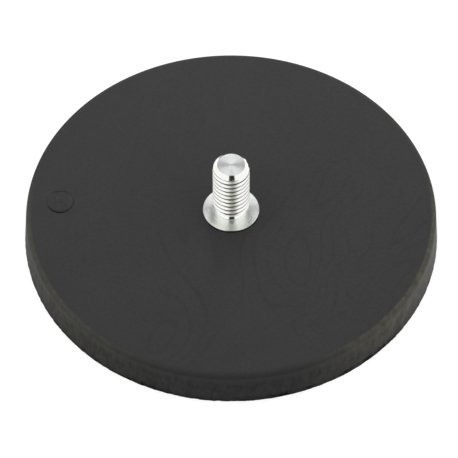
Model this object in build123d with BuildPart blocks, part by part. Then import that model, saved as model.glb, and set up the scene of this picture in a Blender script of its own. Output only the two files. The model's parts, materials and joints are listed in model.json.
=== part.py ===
"""Rubber-coated pot magnet with a threaded stud.

A steel plate carries a turned stud and two rings of disc magnets. A rubber jacket is moulded
round plate and magnets, so that only the stud and the rim of its flange stand clear of it.

Millimetres. The origin is the centre of the magnetic face, and +Z runs along the stud.
"""

import os
from math import radians, tan

from build123d import *

# Rubber jacket
face_diameter = 88.0  # across the magnetic face, where the drafted wall is widest
wall_draft = 4.0  # degrees, the wall leans in towards the back
face_cover = 1.0  # rubber between the magnets and the magnetic face
back_cover = 1.5  # rubber over the back of the plate
rim_wall = 3.0  # rubber round the edge of the plate, measured at the magnetic face
back_edge_radius = 1.5
face_edge_chamfer = 0.3

# Round mark that the mould leaves on the back, raised a little
mark_diameter = 5.6
mark_height = 0.25
mark_edge_chamfer = 0.1
mark_inset = 7.5  # from the rim of the magnetic face to the centre of the mark
mark_angle = 176.2  # degrees from +X

# Steel plate
plate_thickness = 3.0

# Disc magnets
magnet_diameter = 10.0
magnet_thickness = 3.0
outer_ring_count = 12
outer_ring_margin = 2.0  # steel left bare between the outer ring and the edge of the plate
inner_ring_count = 6
ring_gap = 6.0  # between the two rings

# Stud, turned in one piece
thread_diameter = 8.0
stud_length = 15.0  # above the flange
stud_chamfer = 1.0
neck_diameter = 5.9
neck_length = 2.2  # from the flange to the first full turn of the thread
neck_fillet = 0.25
flange_diameter = 11.9
flange_proud = 0.5  # how far the flange stands above the rubber
flange_edge_chamfer = 0.05
spigot_diameter = 5.0
rivet_head_diameter = 8.0
rivet_head_angle = 90.0  # degrees, included angle of the countersink

# Clearances
rubber_clearance = 0.05  # round each piece that the rubber encloses
spigot_clearance = 0.05  # between the spigot, its riveted head and the plate

# Levels above the magnetic face
magnet_bottom = face_cover
plate_bottom = magnet_bottom + magnet_thickness
plate_top = plate_bottom + plate_thickness
jacket_top = plate_top + back_cover
flange_top = jacket_top + flange_proud
thread_bottom = flange_top + neck_length
stud_top = flange_top + stud_length

plate_diameter = face_diameter - 2 * rim_wall
outer_ring_radius = (plate_diameter - magnet_diameter) / 2 - outer_ring_margin
inner_ring_radius = outer_ring_radius - magnet_diameter - ring_gap
mark_distance = face_diameter / 2 - mark_inset
back_diameter = face_diameter - 2 * jacket_top * tan(radians(wall_draft))
run_out = (thread_diameter - neck_diameter) / 2
rivet_head_height = (rivet_head_diameter - spigot_diameter) / 2 / tan(radians(rivet_head_angle / 2))
magnet_rings = ((inner_ring_radius, inner_ring_count), (outer_ring_radius, outer_ring_count))


def level_faces(part):
    """The flat faces of a part that lie level, lowest first."""
    return part.faces().filter_by(Axis.Z).sort_by(Axis.Z)


# ---- Rubber jacket: a drafted disc, moulded round the inner pieces
with BuildPart() as rubber_jacket:
    with BuildSketch(Plane.XZ) as jacket_section:
        with BuildLine():
            Polyline(
                (0, 0),
                (face_diameter / 2, 0),
                (back_diameter / 2, jacket_top),
                (0, jacket_top),
                close=True,
            )
        make_face()
        face_corner, back_corner = jacket_section.vertices().sort_by(Axis.X)[-1:-3:-1]
        fillet(back_corner, radius=back_edge_radius)
        chamfer(face_corner, length=face_edge_chamfer)
    revolve(axis=Axis.Z)

    # raised mould mark
    with BuildSketch(Plane.XY.offset(jacket_top)):
        with PolarLocations(mark_distance, 1, start_angle=mark_angle):
            Circle(mark_diameter / 2)
    extrude(amount=mark_height)
    chamfer(level_faces(rubber_jacket)[-1].edges(), length=mark_edge_chamfer)

    # pockets that the magnets fill
    with BuildSketch(Plane.XY.offset(magnet_bottom)):
        for ring_radius, ring_count in magnet_rings:
            with PolarLocations(ring_radius, ring_count):
                Circle(magnet_diameter / 2 + rubber_clearance)
    extrude(amount=magnet_thickness, mode=Mode.SUBTRACT)

    # space that the plate fills
    with BuildSketch(Plane.XY.offset(plate_bottom)):
        Circle(plate_diameter / 2 + rubber_clearance)
    extrude(amount=plate_thickness, mode=Mode.SUBTRACT)

    # opening that the flange fills
    with BuildSketch(Plane.XY.offset(plate_top)):
        Circle(flange_diameter / 2 + rubber_clearance)
    extrude(amount=back_cover, mode=Mode.SUBTRACT)

# ---- Steel plate: a stamped disc, countersunk below for the riveted end of the stud
with BuildPart() as steel_plate:
    with BuildSketch(Plane.XY.offset(plate_bottom)):
        Circle(plate_diameter / 2)
    extrude(amount=plate_thickness)
    with Locations(Location((0, 0, plate_bottom), (180, 0, 0))):
        CounterSinkHole(
            radius=spigot_diameter / 2 + spigot_clearance,
            counter_sink_radius=rivet_head_diameter / 2 + spigot_clearance,
            depth=plate_thickness,
            counter_sink_angle=rivet_head_angle,
        )

# ---- Threaded stud: turned profile from the riveted head up to the chamfered end
with BuildPart() as threaded_stud:
    with BuildSketch(Plane.XZ):
        with BuildLine():
            Polyline(
                (0, plate_bottom),
                (rivet_head_diameter / 2, plate_bottom),
                (spigot_diameter / 2, plate_bottom + rivet_head_height),
                (spigot_diameter / 2, plate_top),
                (flange_diameter / 2, plate_top),
                (flange_diameter / 2, flange_top),
                (neck_diameter / 2, flange_top),
                (neck_diameter / 2, thread_bottom - run_out),
                (thread_diameter / 2, thread_bottom),
                (thread_diameter / 2, stud_top),
                (0, stud_top),
                close=True,
            )
        make_face()
    revolve(axis=Axis.Z)
    chamfer(level_faces(threaded_stud)[-1].edges(), length=stud_chamfer)
    flange_edges = level_faces(threaded_stud)[-2].edges().sort_by(SortBy.RADIUS)
    chamfer(flange_edges[-1], length=flange_edge_chamfer)
    neck_root = level_faces(threaded_stud)[-2].edges().sort_by(SortBy.RADIUS)[0]
    fillet(neck_root, radius=neck_fillet)

# ---- Magnets: plain discs, seated on the plate in two rings
magnets = []
for ring_radius, ring_count in magnet_rings:
    for seat in PolarLocations(ring_radius, ring_count).local_locations:
        with BuildPart() as magnet:
            with BuildSketch(Plane.XY.offset(magnet_bottom)):
                with Locations(seat):
                    Circle(magnet_diameter / 2)
            extrude(amount=magnet_thickness)
        magnets.append(magnet.part)

# ---- One file for each piece
pieces = {
    "rubber_jacket": rubber_jacket.part,
    "steel_plate": steel_plate.part,
    "threaded_stud": threaded_stud.part,
}
for number, magnet_part in enumerate(magnets, start=1):
    pieces[f"magnet_{number:02d}"] = magnet_part

os.makedirs("parts", exist_ok=True)
for name, piece in pieces.items():
    piece.label = name
    export_step(piece, f"parts/{name}.step")
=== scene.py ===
"""Looks of a pot magnet: a rubber-coated disc with a threaded steel stud on its back.

The CAD frame gives the places and sizes of the solids. Two pieces are modelled here and stand for
their CAD nodes: the stud, with its cut thread, turned faces and nicked crest, and the rubber
jacket, with its pockets, its mould mark and its ragged rim. The hidden plate and magnets
keep their CAD meshes and get materials. Metres; the origin is the centre of the magnetic face, and
+Z runs along the stud.
"""

import json
from itertools import pairwise
from math import cos, degrees, hypot, pi, radians, sin, tan

import bpy
from mathutils import Matrix, Vector

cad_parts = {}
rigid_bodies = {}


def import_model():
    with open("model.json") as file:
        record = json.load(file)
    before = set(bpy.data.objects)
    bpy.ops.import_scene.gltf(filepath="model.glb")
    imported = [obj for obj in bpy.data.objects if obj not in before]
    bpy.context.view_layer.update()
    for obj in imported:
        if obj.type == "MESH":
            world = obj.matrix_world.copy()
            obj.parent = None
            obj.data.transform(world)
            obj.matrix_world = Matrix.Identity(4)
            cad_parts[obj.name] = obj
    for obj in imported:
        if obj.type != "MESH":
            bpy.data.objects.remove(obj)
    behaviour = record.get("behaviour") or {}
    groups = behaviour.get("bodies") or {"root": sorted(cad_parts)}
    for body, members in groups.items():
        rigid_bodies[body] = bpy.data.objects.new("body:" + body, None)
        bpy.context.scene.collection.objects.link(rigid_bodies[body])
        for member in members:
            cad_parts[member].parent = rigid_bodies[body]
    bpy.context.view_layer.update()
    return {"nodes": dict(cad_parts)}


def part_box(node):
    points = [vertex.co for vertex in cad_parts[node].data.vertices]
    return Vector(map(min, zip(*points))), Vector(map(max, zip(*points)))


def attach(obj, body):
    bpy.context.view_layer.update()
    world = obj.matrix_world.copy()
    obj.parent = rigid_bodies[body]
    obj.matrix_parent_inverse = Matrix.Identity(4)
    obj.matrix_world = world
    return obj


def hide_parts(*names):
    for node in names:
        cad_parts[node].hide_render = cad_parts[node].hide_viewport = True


MM = 0.001

# ---- Stud: an M8 x 1.25 thread on a turned blank
PITCH = 1.25 * MM
THREAD_RADIUS = 3.89 * MM
ROOT_RADIUS = 3.2 * MM
FLANK_SLOPE = radians(30)  # each flank against the level
ROOT_ROUNDING = 0.15 * MM
ROOT_STEPS = 4
CREST_ROUNDING = 0.1 * MM
CREST_ROUNDING_END = 8.0  # degrees short of upright, so that the cutter leaves the crest at an angle
CREST_STEPS = 5
CUTTER_REACH = 0.3 * MM  # how far the thread cutter stands out of the blank
THREAD_START_ANGLE = radians(90)
THREAD_START_HEIGHT = 9.58 * MM  # middle of the groove where the cutter comes in, beside the neck
THREAD_TURNS = 12
THREAD_STEPS = 96  # for each turn

END_RADIUS = 2.93 * MM
END_CHAMFER = 0.62 * MM  # at 45 degrees; below it a steeper cone, then a slight taper to the thread
END_CONE_RADIUS = 3.75 * MM
END_CONE_LENGTH = 0.275 * MM
END_TAPER_LENGTH = 1.225 * MM
CREST_NICK_ANGLE = radians(17)
CREST_NICK_HEIGHT = 22.6 * MM
CREST_NICK_SIZES = (0.42 * MM, 1.0 * MM, 0.6 * MM)  # half of its depth, length and height
NICK_SEGMENTS = 16
NICK_RINGS = 8
COLLAR_RADIUS = 3.2 * MM
COLLAR_HEIGHT = 0.4 * MM
COLLAR_SLOPE = radians(40)
NECK_RADIUS = 2.75 * MM
NECK_LENGTH = 2.2 * MM
FLANGE_PROUD = 0.5 * MM
FLANGE_CHAMFER = 0.05 * MM
SPIGOT_RADIUS = 2.5 * MM
RIVET_HEAD_RADIUS = 4.0 * MM
RIVET_HEAD_HEIGHT = 1.5 * MM
CENTRE_PIP_RADIUS = 0.35 * MM  # nub that the facing tool leaves in the middle of the end
CENTRE_PIP_DEPTH = 0.03 * MM
TOOL_FEED = 0.1 * MM  # from one ring of the facing tool to the next
TOOL_MARK_SHARE = 0.98  # of the feed, over which a ring falls away before the step back up
TOOL_MARK_POINTS = 4  # outline points for each ring
END_MARK_DEPTH = 0.0085 * MM
FLANGE_MARK_DEPTH = 0.017 * MM
STUD_STEPS = 160  # round the axis

# ---- Rubber jacket
BACK_COVER = 1.5 * MM
WALL_DRAFT = radians(4.0)
BACK_EDGE_RADIUS = 1.5 * MM
BACK_EDGE_STEPS = 12
FACE_EDGE_CHAMFER = 0.3 * MM
OPENING_CLEARANCE = 0.05 * MM
OPENING_ROUNDING = 0.12 * MM
OPENING_STEPS = 4
POCKET_STEPS = 48
POCKET_OVERLAP = 0.1 * MM  # how far the pocket cutters reach into the plate's space
RAGGED_WIDTH = 0.5 * MM  # how far in from the rim it is worn
RAGGED_HEIGHT = 0.35 * MM  # how far up from the magnetic face
RAGGED_SCALE = 0.9 * MM  # size of the bites
RAGGED_DETAIL = 3
RAGGED_DEPTH = 0.2 * MM
JACKET_STEPS = 960  # round the axis
FACE_RINGS = 3  # rings of faces across the magnetic face

# Round mark that the mould leaves on the back, raised, with a narrow gap beside it
MARK_RADIUS = 2.76 * MM
MARK_HEIGHT = 0.25 * MM
MARK_INSET = 7.75 * MM  # from the rim of the magnetic face to its centre
MARK_ANGLE = radians(176.5)
MARK_ROUNDING = 0.24 * MM
MARK_EDGE_STEPS = 4
MARK_FOOT = 0.4 * MM  # how deep it is sunk into the back
MARK_STEPS = 96
MOATS = (  # where each ring is deepest, its width, how far it is lifted in the middle, and its tilt
    (radians(-104), 0.2 * MM, 0.3 * MM, radians(12)),
    (radians(88), 0.35 * MM, 0.3 * MM, radians(8.5)),
)
MOAT_OVERLAP = 0.02 * MM  # how far each ring reaches into the mark's radius
MOAT_TOP = 1.0 * MM  # clear of the mark, also where the ring dips

MERGE = 0.0001 * MM  # points nearer than this are one point
FACET_ANGLE = radians(25)  # edges sharper than this stay crisp


class Wire:
    """A node's output. Python operators on it add Math nodes."""

    def __init__(self, tree, output=None):
        self.tree = tree
        self.output = output

    def add(self, kind, settings=None, inputs=None, output=0):
        """Adds a node, sets it up, feeds its sockets, and returns one of its outputs."""
        node = self.tree.nodes.new(kind)
        for name, value in (settings or {}).items():
            setattr(node, name, value)
        for name, value in (inputs or {}).items():
            if isinstance(value, Wire):
                self.tree.links.new(value.output, node.inputs[name])
            else:
                node.inputs[name].default_value = value
        return Wire(self.tree, node.outputs[output] if node.outputs else None)

    def beside(self, output):
        """Another output of the same node."""
        return Wire(self.tree, self.output.node.outputs[output])

    def math(self, operation, *values):
        """A Math node on these values."""
        return self.add("ShaderNodeMath", {"operation": operation}, dict(enumerate(values)))

    def __add__(self, other):
        return self.math("ADD", self, other)

    __radd__ = __add__

    def __sub__(self, other):
        return self.math("SUBTRACT", self, other)

    def __rsub__(self, other):
        return self.math("SUBTRACT", other, self)

    def __mul__(self, other):
        return self.math("MULTIPLY", self, other)

    __rmul__ = __mul__

    def __truediv__(self, other):
        return self.math("DIVIDE", self, other)

    def __rtruediv__(self, other):
        return self.math("DIVIDE", other, self)

    def __abs__(self):
        return self.math("ABSOLUTE", self)

    def highest(self, other):
        """The higher of two values."""
        return self.math("MAXIMUM", self, other)

    def rise(self, low, high):
        """0 below low, 1 above high, and smooth between."""
        inputs = {"Value": self, "From Min": low, "From Max": high}
        return self.add("ShaderNodeMapRange", {"interpolation_type": "SMOOTHSTEP"}, inputs)

    def lifted(self, low):
        """Runs from low to 1 where this value runs from 0 to 1."""
        return self * (1 - low) + low

    def blend(self, low, high):
        """A colour between two, by this value."""
        return self.add("ShaderNodeMix", {"data_type": "RGBA"}, {0: self, 6: low, 7: high}, output=2)

    def coordinate(self, axis):
        """One coordinate of this place."""
        return self.add("ShaderNodeSeparateXYZ", inputs={0: self}, output=axis)

    def distance(self, point):
        """How far this place is from a point."""
        return self.add("ShaderNodeVectorMath", {"operation": "DISTANCE"}, {0: self, 1: point}, output=1)

    def noise(self, scale, detail=2.0, roughness=0.5, distortion=0.0):
        """A noise pattern at this place."""
        inputs = {"Vector": self, "Scale": scale, "Detail": detail}
        inputs.update({"Roughness": roughness, "Distortion": distortion})
        return self.add("ShaderNodeTexNoise", inputs=inputs)


# ---- Making meshes -------------------------------------------------------------------------


def deselect():
    """Leaves no object selected."""
    for thing in bpy.context.view_layer.objects:
        thing.select_set(False)


def use(piece):
    """Makes one object the selected and active one."""
    deselect()
    piece.select_set(True)
    bpy.context.view_layer.objects.active = piece


def arc(centre, radius, start, end, steps):
    """Outline points round an arc, from one angle to another, in degrees."""
    turns = [radians(start + (end - start) * step / steps) for step in range(steps + 1)]
    return [(centre[0] + radius * cos(turn), centre[1] + radius * sin(turn)) for turn in turns]


def draw(name, outline, angle=0.0):
    """Draws an outline of (radius, height) points in the half-plane at an angle from +X.

    The new object is left in edit mode.
    """
    across = Vector((cos(angle), sin(angle), 0))
    up = Vector((0, 0, 1))
    places = [across * radius + up * height for radius, height in outline]
    deselect()
    bpy.ops.mesh.primitive_plane_add(size=MM)
    piece = bpy.context.object
    piece.name = piece.data.name = name
    bpy.ops.object.mode_set(mode="EDIT")
    bpy.ops.mesh.merge(type="CENTER")
    bpy.ops.transform.translate(value=places[0])
    for here, there in pairwise(places):
        bpy.ops.mesh.extrude_vertices_move(TRANSFORM_OT_translate={"value": there - here})
    return piece


def close_mesh():
    """Merges what coincides, turns the faces outwards and leaves edit mode."""
    bpy.ops.mesh.select_all(action="SELECT")
    bpy.ops.mesh.remove_doubles(threshold=MERGE)
    bpy.ops.mesh.normals_make_consistent(inside=False)
    bpy.ops.object.mode_set(mode="OBJECT")


def spin(name, outline, steps):
    """A solid of revolution about the stud's axis."""
    piece = draw(name, outline)
    bpy.ops.mesh.select_all(action="SELECT")
    bpy.ops.mesh.spin(steps=steps, angle=2 * pi, center=(0, 0, 0), axis=(0, 0, 1))
    close_mesh()
    return piece


def apply_boolean(piece, tool, operation):
    """Cuts a tool out of a piece or joins it on, and takes the tool away."""
    use(piece)
    boolean = piece.modifiers.new("boolean", "BOOLEAN")
    boolean.operation = operation
    boolean.solver = "EXACT"
    boolean.object = tool
    bpy.ops.object.modifier_apply(modifier=boolean.name)
    bpy.data.objects.remove(tool)


def nick(radius, angle, height, half_sizes):
    """A flattened ball that takes a small bite out of an edge."""
    deselect()
    bpy.ops.mesh.primitive_uv_sphere_add(
        segments=NICK_SEGMENTS,
        ring_count=NICK_RINGS,
        radius=1,
        location=(radius * cos(angle), radius * sin(angle), height),
        rotation=(0, 0, angle),
        scale=half_sizes,
    )
    return bpy.context.object


def smooth(piece):
    """Takes out the slivers that cutting leaves, and shades all but the sharp edges smoothly."""
    use(piece)
    bpy.ops.object.mode_set(mode="EDIT")
    bpy.ops.mesh.select_all(action="SELECT")
    bpy.ops.mesh.dissolve_degenerate(threshold=MERGE)
    close_mesh()
    bpy.ops.object.shade_smooth_by_angle(angle=FACET_ANGLE)


# ---- Stud ----------------------------------------------------------------------------------


def flange_level():
    """Height of the top of the flange."""
    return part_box("steel_plate")[1].z + BACK_COVER + FLANGE_PROUD


def faced(outer, inner, level, depth):
    """Outline points across a faced end, inwards, with the rings that the tool leaves.

    Each ring falls away inwards, and steps back up where the next one starts.
    """
    rings = round((outer - inner) / TOOL_FEED)
    feed = (outer - inner) / rings
    outline = []
    for ring in range(rings):
        for point in range(TOOL_MARK_POINTS):
            across = point / (TOOL_MARK_POINTS - 1)
            radius = outer - feed * (ring + across * TOOL_MARK_SHARE)
            outline.append((radius, level - depth * across**2))
    return [*outline, (inner, level)]


def blank_outline(plate_bottom, plate_top, flange_radius, stud_top):
    """The turned blank, from the riveted end up the outside to the middle of the end face."""
    flange_top = flange_level()
    neck_top = flange_top + NECK_LENGTH - (THREAD_RADIUS - NECK_RADIUS)
    collar_top = flange_top + COLLAR_HEIGHT
    cone_top = collar_top + (COLLAR_RADIUS - NECK_RADIUS) * tan(COLLAR_SLOPE)
    chamfer_foot = stud_top - END_CHAMFER
    return [
        (0, plate_bottom),
        (RIVET_HEAD_RADIUS, plate_bottom),
        (SPIGOT_RADIUS, plate_bottom + RIVET_HEAD_HEIGHT),
        (SPIGOT_RADIUS, plate_top),
        (flange_radius, plate_top),
        (flange_radius, flange_top - FLANGE_CHAMFER),
        *faced(flange_radius - FLANGE_CHAMFER, COLLAR_RADIUS, flange_top, FLANGE_MARK_DEPTH),
        (COLLAR_RADIUS, collar_top),
        (NECK_RADIUS, cone_top),
        (NECK_RADIUS, neck_top),
        (THREAD_RADIUS, flange_top + NECK_LENGTH),
        (THREAD_RADIUS, chamfer_foot - END_CONE_LENGTH - END_TAPER_LENGTH),
        (END_CONE_RADIUS, chamfer_foot - END_CONE_LENGTH),
        (END_RADIUS + END_CHAMFER, chamfer_foot),
        *faced(END_RADIUS, CENTRE_PIP_RADIUS, stud_top, END_MARK_DEPTH),
        (0, stud_top - CENTRE_PIP_DEPTH),
    ]


def groove_outline(middle):
    """Section of the thread groove: rounded root, two flanks and rounded crest edges."""
    flank_normal = 90 - degrees(FLANK_SLOPE)
    root_centre = (ROOT_RADIUS + ROOT_ROUNDING, 0)
    root = arc(root_centre, ROOT_ROUNDING, 180 - flank_normal, 180, ROOT_STEPS)
    flank_radius, flank_height = root[0]
    crest_radius = THREAD_RADIUS - CREST_ROUNDING
    crest_start = crest_radius + CREST_ROUNDING * sin(FLANK_SLOPE)
    crest_height = flank_height + (crest_start - flank_radius) * tan(FLANK_SLOPE)
    crest_height += CREST_ROUNDING * cos(FLANK_SLOPE)
    crest_centre = (crest_radius, crest_height)
    crest = arc(crest_centre, CREST_ROUNDING, -CREST_ROUNDING_END, -flank_normal, CREST_STEPS)
    upper = [(THREAD_RADIUS + CUTTER_REACH, crest[0][1]), *crest, *root[:-1]]
    lower = [(radius, -height) for radius, height in reversed(upper)]
    closed = [*upper, root[-1], *lower, upper[0]]
    return [(radius, height + middle) for radius, height in closed]


def thread_cutter():
    """A helical bar with the section of the groove."""
    cutter = draw("thread_cutter", groove_outline(THREAD_START_HEIGHT), THREAD_START_ANGLE)
    bpy.ops.mesh.select_all(action="SELECT")
    bpy.ops.mesh.remove_doubles(threshold=MERGE)
    bpy.ops.object.mode_set(mode="OBJECT")
    use(cutter)
    screw = cutter.modifiers.new("screw", "SCREW")
    screw.angle = 2 * pi
    screw.screw_offset = PITCH
    screw.iterations = THREAD_TURNS
    screw.steps = screw.render_steps = THREAD_STEPS
    bpy.ops.object.modifier_apply(modifier=screw.name)
    bpy.ops.object.mode_set(mode="EDIT")
    bpy.ops.mesh.select_all(action="SELECT")
    bpy.ops.mesh.fill_holes(sides=0)
    close_mesh()
    return cutter


def make_stud():
    """The turned blank with its thread cut, and one crest nicked."""
    lowest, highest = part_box("threaded_stud")
    outline = blank_outline(lowest.z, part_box("steel_plate")[1].z, highest.x, highest.z)
    stud = spin("stud", outline, STUD_STEPS)
    apply_boolean(stud, thread_cutter(), "DIFFERENCE")
    crest_nick = nick(THREAD_RADIUS, CREST_NICK_ANGLE, CREST_NICK_HEIGHT, CREST_NICK_SIZES)
    apply_boolean(stud, crest_nick, "DIFFERENCE")
    smooth(stud)
    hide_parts("threaded_stud")
    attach(stud, "root")
    return stud


# ---- Rubber jacket -------------------------------------------------------------------------


def jacket_outline(face_radius, jacket_top, plate_box, opening_radius):
    """Section of the moulding, from the middle of its face round to the middle of the plate space."""
    back_radius = face_radius - jacket_top * tan(WALL_DRAFT)
    # the rounded edge touches the level back and the drafted wall
    edge_offset = BACK_EDGE_RADIUS * tan((pi / 2 - WALL_DRAFT) / 2)
    edge_centre = (back_radius - edge_offset, jacket_top - BACK_EDGE_RADIUS)
    lip_centre = (opening_radius + OPENING_ROUNDING, jacket_top - OPENING_ROUNDING)
    plate_low, plate_high = plate_box
    plate_radius = plate_high.x + OPENING_CLEARANCE
    return [
        (0, 0),
        *[(face_radius * ring / FACE_RINGS, 0) for ring in range(1, FACE_RINGS)],
        (face_radius - FACE_EDGE_CHAMFER, 0),
        (face_radius - FACE_EDGE_CHAMFER * tan(WALL_DRAFT), FACE_EDGE_CHAMFER),
        *arc(edge_centre, BACK_EDGE_RADIUS, degrees(WALL_DRAFT), 90, BACK_EDGE_STEPS),
        *arc(lip_centre, OPENING_ROUNDING, 90, 180, OPENING_STEPS),
        (opening_radius, plate_high.z),
        (plate_radius, plate_high.z),
        (plate_radius, plate_low.z),
        (0, plate_low.z),
    ]


def magnet_names():
    """The CAD nodes of the magnets."""
    return [name for name in sorted(frame["nodes"]) if name.startswith("magnet_")]


def magnet_pockets(low, high):
    """One cylinder for each magnet, with its clearance, joined into one cutter."""
    pockets = []
    for name in magnet_names():
        lowest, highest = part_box(name)
        centre = (lowest + highest) / 2
        deselect()
        bpy.ops.mesh.primitive_cylinder_add(
            vertices=POCKET_STEPS,
            radius=(highest.x - lowest.x) / 2 + OPENING_CLEARANCE,
            depth=high - low,
            location=(centre.x, centre.y, (low + high) / 2),
        )
        pockets.append(bpy.context.object)
    deselect()
    for pocket in pockets:
        pocket.select_set(True)
    bpy.context.view_layer.objects.active = pockets[0]
    bpy.ops.object.join()
    return pockets[0]


def mark_centre():
    """Where the mould mark lies, seen from above."""
    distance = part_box("rubber_jacket")[1].x - MARK_INSET
    return distance * cos(MARK_ANGLE), distance * sin(MARK_ANGLE)


def place_on_back(piece):
    """Moves a piece made at the origin to the mould mark's place."""
    use(piece)
    bpy.ops.object.mode_set(mode="EDIT")
    bpy.ops.mesh.select_all(action="SELECT")
    jacket_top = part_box("rubber_jacket")[1].z - MARK_HEIGHT
    bpy.ops.transform.translate(value=(*mark_centre(), jacket_top))
    bpy.ops.object.mode_set(mode="OBJECT")


def mould_mark():
    """The raised disc, with its foot sunk into the back."""
    edge_centre = (MARK_RADIUS - MARK_ROUNDING, MARK_HEIGHT - MARK_ROUNDING)
    edge = arc(edge_centre, MARK_ROUNDING, 0, 90, MARK_EDGE_STEPS)
    outline = [(0, -MARK_FOOT), (MARK_RADIUS, -MARK_FOOT), *edge, (0, MARK_HEIGHT)]
    mark = spin("mould_mark", outline, MARK_STEPS)
    place_on_back(mark)
    return mark


def mark_moat(deepest, width, lift, tilt):
    """A tilted ring that cuts a narrow gap on one side of the mark only."""
    inner, outer = MARK_RADIUS - MOAT_OVERLAP, MARK_RADIUS + width
    outline = [
        (inner, lift),
        (outer - width / 2, lift),
        (outer, lift + width),
        (outer, MOAT_TOP),
        (inner, MOAT_TOP),
    ]
    moat = spin("mark_moat", [*outline, outline[0]], MARK_STEPS)
    bpy.ops.object.mode_set(mode="EDIT")
    bpy.ops.mesh.select_all(action="SELECT")
    # with no window, positive angles turn clockwise
    bpy.ops.transform.rotate(value=-tilt, orient_axis="Y", center_override=(0, 0, 0))
    bpy.ops.transform.rotate(value=-deepest, orient_axis="Z", center_override=(0, 0, 0))
    bpy.ops.object.mode_set(mode="OBJECT")
    place_on_back(moat)
    return moat


def ragged_rim(jacket, rim_radius):
    """Wears the edge of the magnetic face unevenly, inwards only."""
    use(jacket)
    rim = jacket.vertex_groups.new(name="rim")
    for vertex in jacket.data.vertices:
        reach = hypot(vertex.co.x, vertex.co.y)
        if reach > rim_radius - RAGGED_WIDTH and vertex.co.z < RAGGED_HEIGHT:
            rim.add([vertex.index], 1.0, "REPLACE")
    clouds = bpy.data.textures.new("rim_wear", "CLOUDS")
    clouds.noise_scale = RAGGED_SCALE
    clouds.noise_depth = RAGGED_DETAIL
    wear = jacket.modifiers.new("wear", "DISPLACE")
    wear.texture = clouds
    wear.vertex_group = "rim"
    wear.strength = RAGGED_DEPTH
    wear.mid_level = 1.0
    bpy.ops.object.modifier_apply(modifier=wear.name)
    jacket.vertex_groups.clear()


def make_jacket():
    """The moulding, with its worn rim, its pockets and its mark."""
    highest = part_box("rubber_jacket")[1]
    plate_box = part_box("steel_plate")
    jacket_top = highest.z - MARK_HEIGHT
    opening_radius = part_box("threaded_stud")[1].x + OPENING_CLEARANCE
    outline = jacket_outline(highest.x, jacket_top, plate_box, opening_radius)
    jacket = spin("jacket", outline, JACKET_STEPS)
    ragged_rim(jacket, highest.x)
    pockets = magnet_pockets(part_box("magnet_01")[0].z, plate_box[0].z + POCKET_OVERLAP)
    apply_boolean(jacket, pockets, "DIFFERENCE")
    for moat in MOATS:
        apply_boolean(jacket, mark_moat(*moat), "DIFFERENCE")
    apply_boolean(jacket, mould_mark(), "UNION")
    smooth(jacket)
    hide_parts("rubber_jacket")
    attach(jacket, "root")
    return jacket


# ---- Materials -----------------------------------------------------------------------------
# A pattern is the scale, detail, roughness and distortion of a noise. A contrast is the two
# values of it that become 0 and 1. A reach is the two places between which something comes in
# or fades out.

WHITE = (1, 1, 1, 1)
BLACK = (0, 0, 0, 1)

# Bright zinc
THREAD_TINT = (0.93, 0.93, 0.9, 1)
FLANGE_TINT = (0.925, 0.945, 0.915, 1)
END_TINT = (0.92, 0.935, 0.93, 1)
ZINC_ROUGHNESS = 0.12
FLANGE_SATIN = 0.12  # what the tool marks add to the roughness
END_SATIN = 0.08
FLANGE_REACH = (0.02 * MM, 0.06 * MM)  # from the flange's level, up and down
END_REACH = (-0.05 * MM, -0.02 * MM)  # from the level of the end face
# Painted shade: a dark patch on the chamfer beside the crest nick, as if it lay in shadow
NICK_SHADE_COLOUR = (0.2, 0.2, 0.19, 1)
NICK_SHADE_PLACE = (3.5 * MM, 1.15 * MM, 23.15 * MM)
NICK_SHADE_REACH = (0.5 * MM, 0.75 * MM)
NICK_SHADE_PATTERN = (2500, 2, 0.6)
NICK_SHADE_RAGGEDNESS = 0.3 * MM

# Black rubber, on the back
BACK_COLOUR = (0.09, 0.09, 0.09, 1)
BACK_SHADE = 0.361
# Painted light: how much lighter the back is painted towards +Y, where it is lit more brightly
BACK_PAINTED_LIGHT_SLOPE = 1.0  # for each metre towards +Y
FLOW_SHIFT = (16 * MM, -4 * MM, 0)
FLOW_PATTERN = (17, 1, 0.4, 2.2)
FLOW_HALF_SPACING = 0.03  # half of the way from a line to the next, in values of the pattern
FLOW_LINE_CONTRAST = (0.0, 0.009)
FLOW_FADING_PATTERN = (45, 2)
FLOW_FADING_CONTRAST = (0.42, 0.66)
FLOW_FAINT_REACH = (-6 * MM, 24 * MM)  # towards +Y
FLOW_FAINT = 0.3
FLOW_SHADE = 0.05
CLOUD_PATTERN = (60, 3, 0.6, 1.0)
CLOUD_CONTRAST = (0.3, 0.7)
CLOUD_SHADE = 0.03
GRAIN_PATTERN = (1500, 3, 0.65)
GRAIN_SHADE = 0.22
MARK_PATTERN = (1400, 1, 0.5)
MARK_PATTERN_LEVEL = 0.57  # the value that leaves the shade as it is
MARK_REACH = (2.5 * MM, 2.8 * MM)
MARK_SHADE = 0.3

# Black rubber, on the wall, which is painted darker than the back as painted shade
PAINTED_SHADE_WALL_COLOUR = (0.042, 0.042, 0.042, 1)
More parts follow.
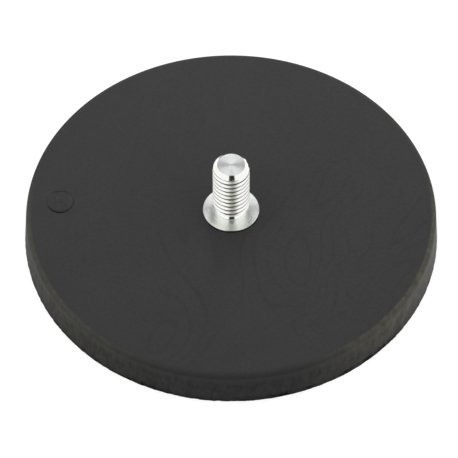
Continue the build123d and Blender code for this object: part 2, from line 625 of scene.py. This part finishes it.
# Painted shade: the wall's darker colour is full low down and turns into the back's colour towards the
# top
WALL_REACH = (5.0 * MM, 7.9 * MM)  # up to where the colour of the wall turns into the back's
WALL_SHADE = 0.125
STREAK_PATTERN = (420, 4, 0.65, 0.3)
STREAK_CONTRAST = (0.3, 0.7)
WALL_STREAKS = 0.25
SPECKLE_PATTERN = (1900, 2, 0.7)
WALL_SPECKLE = 0.2
FLECK_STRETCH = (1, 1, 0.4)
FLECK_PATTERN = (900, 3, 0.7)
FLECK_CONTRAST = (0.35, 0.65)
WALL_FLECKS = 0.3
FOOT_REACH = (1.0 * MM, 1.9 * MM)
FOOT_SHADE = 0.75
TORN_PATTERN = (300, 3, 0.7)
TORN_CONTRAST = (0.5, 0.64)
TORN_PATCHES = 0.8  # how torn the patches between the worse places are
TORN_HEIGHT = (0.8 * MM, 2.2 * MM)
WORSE_TEARS = (radians(-76.2), radians(-49.5), radians(-44.2))  # angles from +X
WORSE_TEAR_REACH = (1.5 * MM, 2.6 * MM)
WORSE_TEAR_RAGGEDNESS = 0.8 * MM
TORN_DARKENING = 0.8

# Pale dust on the wall, mixed with painted sheen and light at its sides and towards its top, most of it
# at +X
DUST_AND_SHEEN_COLOUR = (0.1, 0.097, 0.072, 1)
DUST_AND_SHEEN_BASE = 0.275
DUST_AND_SHEEN_STREAKS = 0.5
DUST_AND_SHEEN_FLECKS = 0.55
DUST_AND_SHEEN_TORN_LOSS = 0.95
DUST_AND_SHEEN_RISE = (-2 * MM, 8 * MM)
DUST_AND_SHEEN_TOP = (8.3 * MM, 8.5 * MM)
DUST_AND_SHEEN_FAR = 0.3  # share of it round the far side
FAR_REACH = (-4 * MM, 10 * MM)  # towards +Y
RIGHT_REACH = (12 * MM, 34 * MM)
LEFT_REACH = (-36 * MM, -9 * MM)
DUST_AND_SHEEN_RIGHT = 0.86
DUST_AND_SHEEN_LEFT = 0.47

# How the rubber shines
RUBBER_ROUGHNESS = 0.5
LEFT_ROUGHNESS = 0.1
SHINY_SPECULAR = 0.16
DULL_SPECULAR = 0.02
LEFT_DULLNESS = 0.2
RIGHT_DULLNESS = 0.1
FOOT_SHINE = 0.7
FAR_EDGE_REACH = (6.9 * MM, 7.5 * MM)
FAR_EDGE_DULLNESS = 0.7
TORN_DULLNESS = 0.9
RUBBER_BUMP = 0.25
RUBBER_BUMP_DEPTH = 0.02 * MM

# Cold-rolled sheet
STEEL_DARK = (0.33, 0.33, 0.34, 1)
STEEL_LIGHT = (0.5, 0.5, 0.5, 1)
ROLLING_STRETCH = (40, 3000, 3000)
ROLLING_PATTERN = (1.0, 3, 0.6)
PATCH_PATTERN = (90, 3, 0.6, 0.5)
PATCH_CONTRAST = (0.35, 0.7)
RUST_COLOUR = (0.13, 0.055, 0.025, 1)
RUST_PATTERN = (240, 4, 0.7)
RUST_CONTRAST = (0.62, 0.74)
RUST_METAL_LOSS = 0.8
STEEL_ROUGHNESS = 0.22
ROLLING_ROUGHNESS = 0.2
PATCH_ROUGHNESS = 0.08
RUST_ROUGHNESS = 0.3
ROLLING_BUMP = 0.3
ROLLING_BUMP_DEPTH = 0.01 * MM

# Nickel over sintered magnets
NICKEL_BRIGHT = (0.66, 0.63, 0.58, 1)
NICKEL_RUBBED = (0.52, 0.5, 0.47, 1)
PEEL_PATTERN = (1800, 2, 0.5)
RUB_PATTERN = (300, 4, 0.65, 0.8)
RUB_CONTRAST = (0.45, 0.7)
NICKEL_ROUGHNESS = 0.16
RUB_ROUGHNESS = 0.18
PEEL_BUMP = 0.2
PEEL_BUMP_DEPTH = 0.01 * MM


def new_material(name):
    """A material with no nodes, and a wire to start them from."""
    material = bpy.data.materials.new(name)
    material.use_nodes = True
    material.node_tree.nodes.clear()
    return material, Wire(material.node_tree)


def dress(piece, material):
    """Puts one material on a piece, in place of what it has."""
    piece.data.materials.clear()
    piece.data.materials.append(material)


def zinc_plate():
    """Bright zinc: satin on the two faced ends, with a patch of painted shade beside the crest nick."""
    material, start = new_material("bright_zinc_plate")
    place = start.add("ShaderNodeTexCoord", output="Object")
    height = place.coordinate("Z")
    flange = 1 - abs(height - flange_level()).rise(*FLANGE_REACH)
    end = (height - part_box("threaded_stud")[1].z).rise(*END_REACH)
    plate = end.blend(flange.blend(THREAD_TINT, FLANGE_TINT), END_TINT)
    ragged = place.noise(*NICK_SHADE_PATTERN) * NICK_SHADE_RAGGEDNESS
    # painted shade: the plate is darkened in a ragged patch beside the crest nick
    nick_shade = 1 - (place.distance(NICK_SHADE_PLACE) + ragged).rise(*NICK_SHADE_REACH)
    surface = {
        "Base Color": nick_shade.blend(plate, NICK_SHADE_COLOUR),
        "Metallic": 1.0,
        "Roughness": flange * FLANGE_SATIN + end * END_SATIN + ZINC_ROUGHNESS,
    }
    shader = start.add("ShaderNodeBsdfPrincipled", inputs=surface)
    start.add("ShaderNodeOutputMaterial", inputs={"Surface": shader})
    return material


def back_shade(place, towards_back, grain):
    """Shade of the jacket's back: faint clouds, nested flow lines, grain, a mottled mark, and painted
    light that makes it lighter towards +Y.
    """
    flow_place = place.add("ShaderNodeMapping", inputs={"Vector": place, "Location": FLOW_SHIFT})
    flow = flow_place.noise(*FLOW_PATTERN)
    nested = 1 - flow.math("PINGPONG", flow, FLOW_HALF_SPACING).rise(*FLOW_LINE_CONTRAST)
    faded = flow_place.noise(*FLOW_FADING_PATTERN).rise(*FLOW_FADING_CONTRAST)
    in_front = 1 - towards_back.rise(*FLOW_FAINT_REACH)
    lines = nested * faded * in_front.lifted(FLOW_FAINT)
    clouds = place.noise(*CLOUD_PATTERN).rise(*CLOUD_CONTRAST)
    mark_place = (*mark_centre(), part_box("rubber_jacket")[1].z)
    on_mark = 1 - place.distance(mark_place).rise(*MARK_REACH)
    mottle = (place.noise(*MARK_PATTERN) - MARK_PATTERN_LEVEL) * on_mark
    # painted light: the back gets lighter towards +Y
    shade = towards_back * BACK_PAINTED_LIGHT_SLOPE + BACK_SHADE
    return shade + clouds * CLOUD_SHADE - lines * FLOW_SHADE + grain * GRAIN_SHADE + mottle * MARK_SHADE


def torn_foot(place, height, flecks):
    """1 where the foot of the wall is torn: in patches, and at three worse places."""
    torn = place.noise(*TORN_PATTERN).rise(*TORN_CONTRAST) * TORN_PATCHES
    rim_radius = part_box("rubber_jacket")[1].x
    for angle in WORSE_TEARS:
        from_tear = place.distance((rim_radius * cos(angle), rim_radius * sin(angle), 0))
        ragged = from_tear + flecks * WORSE_TEAR_RAGGEDNESS
        torn = torn.highest(1 - ragged.rise(*WORSE_TEAR_REACH))
    return torn * (1 - height.rise(*TORN_HEIGHT))


def black_rubber():
    """Dull moulded rubber: a finely grained back, painted lighter towards +Y as painted light, and a
    mottled wall, painted darker as painted shade, dusty and painted paler with sheen at its sides.
    """
    material, start = new_material("black_rubber")
    place = start.add("ShaderNodeTexCoord", output="Object")
    across = place.coordinate("X")
    towards_back = across.beside("Y")
    height = across.beside("Z")
    front = 1 - towards_back.rise(*FAR_REACH)
    right = across.rise(*RIGHT_REACH)
    left = 1 - across.rise(*LEFT_REACH)
    foot = height.rise(*FOOT_REACH)
    wall = 1 - height.rise(*WALL_REACH)
    below_back = 1 - height.rise(*DUST_AND_SHEEN_TOP)
    far_edge = height.rise(*FAR_EDGE_REACH) * below_back * (1 - front)

    grain = place.noise(*GRAIN_PATTERN)
    speckle = place.noise(*SPECKLE_PATTERN)
    streaks = place.noise(*STREAK_PATTERN).rise(*STREAK_CONTRAST)
    upright = start.add("ShaderNodeMapping", inputs={"Vector": place, "Scale": FLECK_STRETCH})
    flecks = upright.noise(*FLECK_PATTERN).rise(*FLECK_CONTRAST)
    torn = torn_foot(place, height, flecks)

    back_colour = back_shade(place, towards_back, grain).blend(BLACK, BACK_COLOUR)
    mottled = flecks * WALL_FLECKS + speckle * WALL_SPECKLE + streaks * WALL_STREAKS + WALL_SHADE
    wall_shade = mottled * foot.lifted(FOOT_SHADE) * (1 - torn * TORN_DARKENING)
    # painted shade: the wall gets a darker colour than the back, the same rubber, because it is lit less
    painted_shade_wall_colour = wall_shade.blend(BLACK, PAINTED_SHADE_WALL_COLOUR)
    # real dust mixed with painted sheen and light: the wall is painted paler at its right and left
    # sides, more at the front and higher up, where light glances off it
    dust_and_sheen = streaks * DUST_AND_SHEEN_STREAKS + flecks * DUST_AND_SHEEN_FLECKS + DUST_AND_SHEEN_BASE
    dust_and_sheen = dust_and_sheen * (right * DUST_AND_SHEEN_RIGHT + left * DUST_AND_SHEEN_LEFT) * front.lifted(DUST_AND_SHEEN_FAR)
    dust_and_sheen = dust_and_sheen * height.rise(*DUST_AND_SHEEN_RISE) * below_back * (1 - torn * DUST_AND_SHEEN_TORN_LOSS)

    shine = 1 - (left * LEFT_DULLNESS + right * RIGHT_DULLNESS) * wall
    shine = shine * foot.lifted(FOOT_SHINE) * (1 - far_edge * FAR_EDGE_DULLNESS)
    shine = shine * (1 - torn * TORN_DULLNESS)
    bump = {"Strength": RUBBER_BUMP, "Distance": RUBBER_BUMP_DEPTH, "Height": grain + speckle}
    surface = {
        "Base Color": dust_and_sheen.blend(wall.blend(back_colour, painted_shade_wall_colour), DUST_AND_SHEEN_COLOUR),
        "Roughness": left * LEFT_ROUGHNESS + RUBBER_ROUGHNESS,
        "Normal": start.add("ShaderNodeBump", inputs=bump),
    }
    dull, shiny = (
        start.add("ShaderNodeBsdfPrincipled", inputs={**surface, "Specular IOR Level": specular})
        for specular in (DULL_SPECULAR, SHINY_SPECULAR)
    )
    shader = start.add("ShaderNodeMixShader", inputs={0: shine, 1: dull, 2: shiny})
    start.add("ShaderNodeOutputMaterial", inputs={"Surface": shader})
    return material


def plain_steel():
    """Cold-rolled sheet: faint lines along X, dull patches and a little rust."""
    material, start = new_material("plain_steel")
    place = start.add("ShaderNodeTexCoord", output="Object")
    along = start.add("ShaderNodeMapping", inputs={"Vector": place, "Scale": ROLLING_STRETCH})
    rolling = along.noise(*ROLLING_PATTERN)
    patches = place.noise(*PATCH_PATTERN).rise(*PATCH_CONTRAST)
    rust = place.noise(*RUST_PATTERN).rise(*RUST_CONTRAST)
    roughness = rolling * ROLLING_ROUGHNESS + patches * PATCH_ROUGHNESS + rust * RUST_ROUGHNESS
    bump = {"Strength": ROLLING_BUMP, "Distance": ROLLING_BUMP_DEPTH, "Height": rolling}
    surface = {
        "Base Color": rust.blend(patches.blend(STEEL_DARK, STEEL_LIGHT), RUST_COLOUR),
        "Metallic": 1 - rust * RUST_METAL_LOSS,
        "Roughness": roughness + STEEL_ROUGHNESS,
        "Normal": start.add("ShaderNodeBump", inputs=bump),
    }
    shader = start.add("ShaderNodeBsdfPrincipled", inputs=surface)
    start.add("ShaderNodeOutputMaterial", inputs={"Surface": shader})
    return material


def nickel_plate():
    """Bright nickel over sintered magnets, with rub marks and a slight orange peel."""
    material, start = new_material("nickel_plate")
    place = start.add("ShaderNodeTexCoord", output="Object")
    peel = place.noise(*PEEL_PATTERN)
    rubbed = place.noise(*RUB_PATTERN).rise(*RUB_CONTRAST)
    bump = {"Strength": PEEL_BUMP, "Distance": PEEL_BUMP_DEPTH, "Height": peel}
    surface = {
        "Base Color": rubbed.blend(NICKEL_BRIGHT, NICKEL_RUBBED),
        "Metallic": 1.0,
        "Roughness": rubbed * RUB_ROUGHNESS + NICKEL_ROUGHNESS,
        "Normal": start.add("ShaderNodeBump", inputs=bump),
    }
    shader = start.add("ShaderNodeBsdfPrincipled", inputs=surface)
    start.add("ShaderNodeOutputMaterial", inputs={"Surface": shader})
    return material


# ---- Studio --------------------------------------------------------------------------------

FLOOR_SIZE = 6.0
FLOOR_DROP = 0.02 * MM  # so that it doesn't lie in the plane of the magnetic face
FLOOR_GLOW = 0.85
FLOOR_COLOUR = (0.3, 0.3, 0.3, 1)
FRONT = radians(-90)  # the side that the camera looks from, as an angle from +X
CARD_STEPS = 24
CLOTH_OUTLINE = ((0.085, 0.0005), (0.7, 0.2))  # radius and height of its two edges
CLOTH_SWEEP = radians(86)
CLOTH_COLOUR = (0.12, 0.122, 0.1, 1)
BAND_DISTANCE = 0.9
GAP_REACH = (22, 60.8)  # degrees above the level
GAP_SIDES = (-0.18, 0.288)
GAP_COLOUR = (0.024, 0.025, 0.018, 1)
HAZE_REACH = (60.8, 80)
HAZE_SIDE = 0.36
HAZE_COLOUR = (0.43, 0.43, 0.375, 1)
ARCH_DISTANCE = 0.611
ARCH_RADII = (0.66, 0.96)
ARCH_ENDS = (45, 135)  # degrees from +X
ARCH_COLOUR = (0.3, 0.3, 0.305, 1)

CAMERA_TARGET = Vector((-0.452, 1.547, 0.0)) * MM
CAMERA_DISTANCE = 980.314 * MM
CAMERA_ELEVATION = radians(52.32428)
CAMERA_LENS = 360.9
CAMERA_FAR_CLIP = 20.0


def studio_world(scene):
    """A white surrounding."""
    world = bpy.data.worlds.new("studio")
    scene.world = world
    world.use_nodes = True
    world.node_tree.nodes.clear()
    start = Wire(world.node_tree)
    shader = start.add("ShaderNodeBackground", inputs={"Color": WHITE, "Strength": 1.0})
    start.add("ShaderNodeOutputWorld", inputs={"Surface": shader})


def studio_floor():
    """A pale floor that shows white, and keeps the object's shadow."""
    deselect()
    bpy.ops.mesh.primitive_plane_add(size=FLOOR_SIZE, location=(0, 0, -FLOOR_DROP))
    floor = bpy.context.object
    floor.name = "studio_floor"
    material, start = new_material("floor")
    camera_ray = start.add("ShaderNodeLightPath", output="Is Camera Ray")
    glossy_ray = camera_ray.beside("Is Glossy Ray")
    shown = camera_ray.highest(glossy_ray).highest(camera_ray.beside("Is Transmission Ray"))
    plain = start.add("ShaderNodeBsdfDiffuse", inputs={"Color": FLOOR_COLOUR})
    glow = start.add("ShaderNodeEmission", inputs={"Color": WHITE, "Strength": FLOOR_GLOW})
    seen = start.add("ShaderNodeAddShader", inputs={0: plain, 1: glow})
    shader = start.add("ShaderNodeMixShader", inputs={0: shown, 1: plain, 2: seen})
    start.add("ShaderNodeOutputMaterial", inputs={"Surface": shader})
    floor.data.materials.append(material)


def glowing(name, colour):
    """A material that looks the same from everywhere, under any light."""
    material, start = new_material(name)
    shader = start.add("ShaderNodeEmission", inputs={"Color": colour})
    start.add("ShaderNodeOutputMaterial", inputs={"Surface": shader})
    return material


def haze():
    """Grey in the middle of its band and white towards both sides."""
    material, start = new_material("camera_haze")
    across = start.add("ShaderNodeTexCoord", output="Object").coordinate("X")
    grey = start.add("ShaderNodeEmission", inputs={"Color": HAZE_COLOUR})
    white = start.add("ShaderNodeEmission", inputs={"Color": WHITE})
    side = abs(across) / HAZE_SIDE
    shader = start.add("ShaderNodeMixShader", inputs={0: side, 1: grey, 2: white})
    start.add("ShaderNodeOutputMaterial", inputs={"Surface": shader})
    return material


def hang(card, material):
    """Leaves edit mode and hangs a card in the studio, where the camera doesn't see it."""
    bpy.ops.object.mode_set(mode="OBJECT")
    card.data.materials.append(material)
    card.visible_camera = False


def front_cloth():
    """A dark cloth round the front, which rises from beside the object."""
    # seen from above, the spin operator turns clockwise
    cloth = draw("front_cloth", CLOTH_OUTLINE, FRONT + CLOTH_SWEEP / 2)
    bpy.ops.mesh.select_all(action="SELECT")
    bpy.ops.mesh.spin(steps=CARD_STEPS, angle=CLOTH_SWEEP, center=(0, 0, 0), axis=(0, 0, 1))
    hang(cloth, glowing("front_cloth", CLOTH_COLOUR))


def overhead_band(name, reach, sides, material):
    """A band bent round the X axis in front of the object, between two heights in degrees."""
    left, right = sides
    band = draw(name, arc((0, 0), BAND_DISTANCE, *reach, CARD_STEPS), FRONT)
    bpy.ops.mesh.select_all(action="SELECT")
    bpy.ops.transform.translate(value=(left, 0, 0))
    bpy.ops.mesh.extrude_region_move(TRANSFORM_OT_translate={"value": (right - left, 0, 0)})
    hang(band, material)


def back_arch():
    """A grey arch that stands behind the object."""
    inner, outer = ARCH_RADII
    widening = outer / inner
    arch = draw("back_arch", arc((0, 0), inner, *ARCH_ENDS, CARD_STEPS))
    bpy.ops.mesh.select_all(action="SELECT")
    bpy.ops.transform.translate(value=(0, ARCH_DISTANCE, 0))
    bpy.ops.mesh.extrude_edges_move()
    bpy.ops.transform.resize(value=(widening, 1, widening), center_override=(0, ARCH_DISTANCE, 0))
    hang(arch, glowing("back_arch", ARCH_COLOUR))


def studio_camera(scene):
    """A long lens from the front, which looks down at the object."""
    camera = bpy.data.objects.new("camera", bpy.data.cameras.new("camera"))
    scene.collection.objects.link(camera)
    camera.data.lens = CAMERA_LENS
    camera.data.clip_end = CAMERA_FAR_CLIP
    back = Vector((0, -cos(CAMERA_ELEVATION), sin(CAMERA_ELEVATION)))
    place = Matrix.Translation(CAMERA_TARGET + back * CAMERA_DISTANCE)
    camera.matrix_world = place @ Matrix.Rotation(pi / 2 - CAMERA_ELEVATION, 4, "X")
    scene.camera = camera


# ---- The scene -----------------------------------------------------------------------------

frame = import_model()
deselect()
scene = bpy.context.scene
scene.view_settings.view_transform = "Standard"

studio_camera(scene)
studio_world(scene)
studio_floor()
front_cloth()
overhead_band("camera_gap", GAP_REACH, GAP_SIDES, glowing("camera_gap", GAP_COLOUR))
overhead_band("camera_haze", HAZE_REACH, (-HAZE_SIDE, HAZE_SIDE), haze())
back_arch()

dress(make_stud(), zinc_plate())
dress(make_jacket(), black_rubber())
dress(frame["nodes"]["steel_plate"], plain_steel())
magnet_finish = nickel_plate()
for name in magnet_names():
    dress(frame["nodes"][name], magnet_finish)
